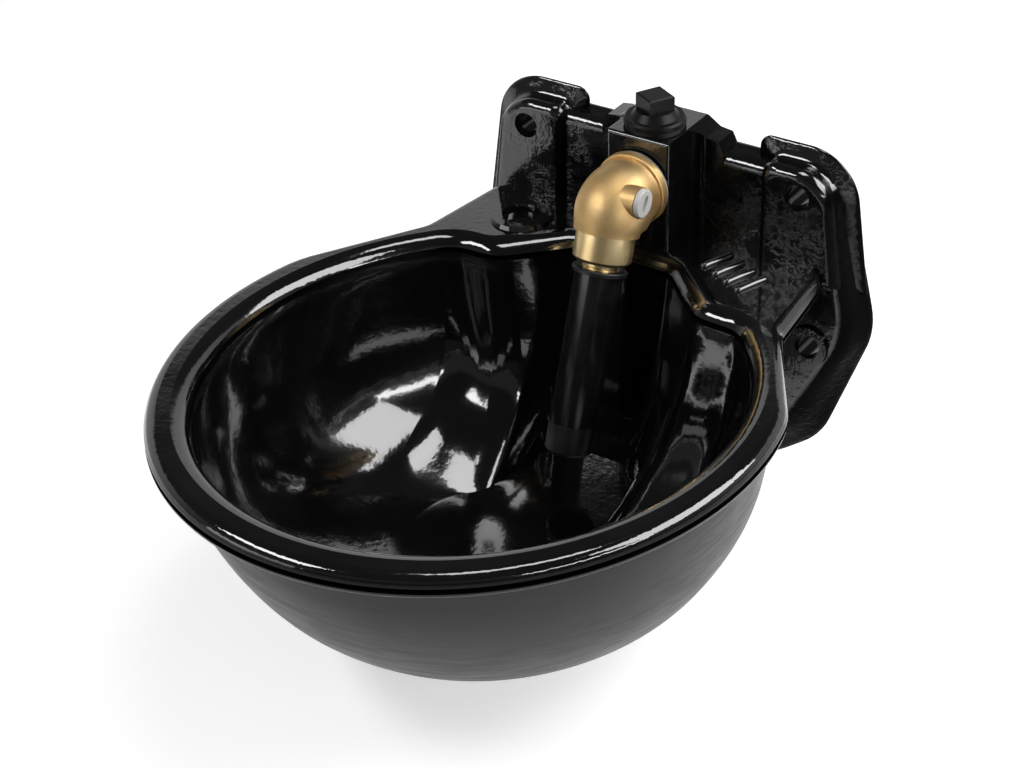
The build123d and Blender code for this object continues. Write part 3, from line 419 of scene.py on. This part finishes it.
# ------------------------------------------------------------------ grip bars on the shelf
BAR_COUNT = 4
BAR_ROW = Vector((0.051, -0.039, 0))     # middle of the row of bars
BAR_PITCH = 0.0084
BAR_ROW_TURN = radians(-26)
BAR_TURN = radians(69)
BAR_LONG = 0.0184
BAR_HALF_WIDE = 0.0022
BAR_HIGH = 0.0021
BAR_RIDGE = 0.02                         # share of the bar's width that its ridge keeps
BAR_RINGS = 6
BAR_END_STEPS = 9


def bar_ring(rise):
    """Points round one bar at a turn of its rounding: 0 at the shelf, pi/2 on the ridge."""
    radius = BAR_HALF_WIDE * max(cos(rise), BAR_RIDGE)
    reach = BAR_LONG / 2 - BAR_HALF_WIDE
    points = []
    for end in (1, -1):
        for step in range(BAR_END_STEPS):
            turn = -pi / 2 + pi * step / (BAR_END_STEPS - 1)
            points.append(Vector((end * (reach + radius * cos(turn)), end * radius * sin(turn),
                                  BAR_HIGH * sin(rise))))
    return points


def grip_bar(index):
    """One grip bar with the rounded top that enamel leaves on a raised bar."""
    mesh = bpy.data.meshes.new("grip_bar_%d" % (index + 1))
    net = bmesh.new()
    rings = [[net.verts.new(point) for point in bar_ring(pi / 2 * ring / BAR_RINGS)]
             for ring in range(BAR_RINGS + 1)]
    for lower, upper in zip(rings, rings[1:]):
        for here in range(len(lower)):
            after = (here + 1) % len(lower)
            net.faces.new((lower[here], lower[after], upper[after], upper[here]))
    net.faces.new(rings[-1])
    net.faces.new(reversed(rings[0]))
    for face in net.faces:
        face.smooth = True
    step = (index - (BAR_COUNT - 1) / 2) * BAR_PITCH
    place = BAR_ROW + step * Vector((cos(BAR_ROW_TURN), sin(BAR_ROW_TURN), 0))
    net.transform(Matrix.Translation(place) @ Matrix.Rotation(BAR_TURN, 4, "Z"))
    net.to_mesh(mesh)
    net.free()
    mesh.materials.append(FINISHES["black_enamel"])
    bar = bpy.data.objects.new(mesh.name, mesh)
    bpy.context.scene.collection.objects.link(bar)
    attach(bar, "bowl")


for index in range(BAR_COUNT):
    grip_bar(index)


# ------------------------------------------------------------------ lamps
LAMP_AIM = Vector((0, -0.15, -0.03))


def lamp(name, azimuth, elevation, distance, width, height, power):
    """Soft box that looks at the bowl; its direction is in degrees."""
    away = direction(radians(azimuth), radians(elevation))
    data = bpy.data.lights.new(name, "AREA")
    data.shape = "RECTANGLE"
    data.size = width
    data.size_y = height
    data.energy = power
    soft_box = bpy.data.objects.new(name, data)
    soft_box.matrix_world = (Matrix.Translation(LAMP_AIM + distance * away)
                             @ away.to_track_quat("Z", "Y").to_matrix().to_4x4())
    bpy.context.scene.collection.objects.link(soft_box)


lamp("left_strip", azimuth=-42, elevation=48, distance=1.1, width=0.66, height=0.22, power=4.6)
lamp("right_strip", azimuth=76, elevation=24, distance=1.1, width=0.75, height=0.08, power=1.9)
lamp("right_box", azimuth=119, elevation=41, distance=1.1, width=0.92, height=0.55, power=9.6)
lamp("top_box", azimuth=160, elevation=82, distance=1.2, width=0.26, height=0.56, power=2.8)
lamp("front_panel", azimuth=-34, elevation=8, distance=1.2, width=0.80, height=0.30, power=1.5)


# ------------------------------------------------------------------ studio and floor
WHITE = (1, 1, 1, 1)
ROOM_LEVEL = 0.04                        # what the room gives from every side
HORIZON_LEVEL = 0.50                     # the glow near the horizon, strongest behind
HORIZON_Z = (0.54, 0.47)
HORIZON_TURN = (0.9, 0.45)               # the glow is centred behind, a little to the left
HORIZON_FRONT_SHARE = 0.16
FLOOR_GAP = 0.012                        # the floor lies this far under the lowest point
FLOOR_HALF = 4.0
FLOOR_COLOR = grey(0.80)
FLOOR_GLOW = 0.55


def light_studio():
    """White to the eye and through glass; for everything else a dim room with a glow behind."""
    world = bpy.data.worlds.new("studio")
    world.use_nodes = True
    bpy.context.scene.world = world
    write = Nodes(world.node_tree)
    path = write.add("ShaderNodeLightPath")
    seen = write.math("MAXIMUM", path.outputs["Is Camera Ray"], path.outputs["Is Transmission Ray"])
    toward = write.parts(write.add("ShaderNodeTexCoord").outputs["Generated"])
    backward = write.less(write.product(toward["Y"], HORIZON_TURN[0]),
                          write.product(toward["X"], HORIZON_TURN[1]))
    behind = write.ramp(backward, -0.1, 0.8, HORIZON_FRONT_SHARE, 1.0)
    horizon = write.product(behind, HORIZON_LEVEL, write.ramp(toward["Z"], *HORIZON_Z))
    background = world.node_tree.nodes["Background"]
    write.put(background.inputs["Color"], WHITE)
    write.put(background.inputs["Strength"], write.blend(seen, write.total(horizon, ROOM_LEVEL), 1.0))


def lay_floor():
    mesh = bpy.data.meshes.new("floor")
    net = bmesh.new()
    bmesh.ops.create_grid(net, x_segments=2, y_segments=2, size=FLOOR_HALF)
    net.to_mesh(mesh)
    net.free()
    floor = bpy.data.objects.new("floor", mesh)
    floor.location = (0, 0, solid_box[0][2] - FLOOR_GAP)
    bpy.context.scene.collection.objects.link(floor)
    material, write, shader = new_material("pale_floor", Roughness=0.9, Base_Color=FLOOR_COLOR,
                                           Emission_Color=WHITE)
    path = write.add("ShaderNodeLightPath")
    seen = write.math("MAXIMUM", path.outputs["Is Camera Ray"], path.outputs["Is Glossy Ray"])
    write.put(shader.inputs["Emission Strength"], write.product(seen, FLOOR_GLOW))
    mesh.materials.append(material)


light_studio()
lay_floor()

bpy.context.scene.view_settings.view_transform = "Standard"
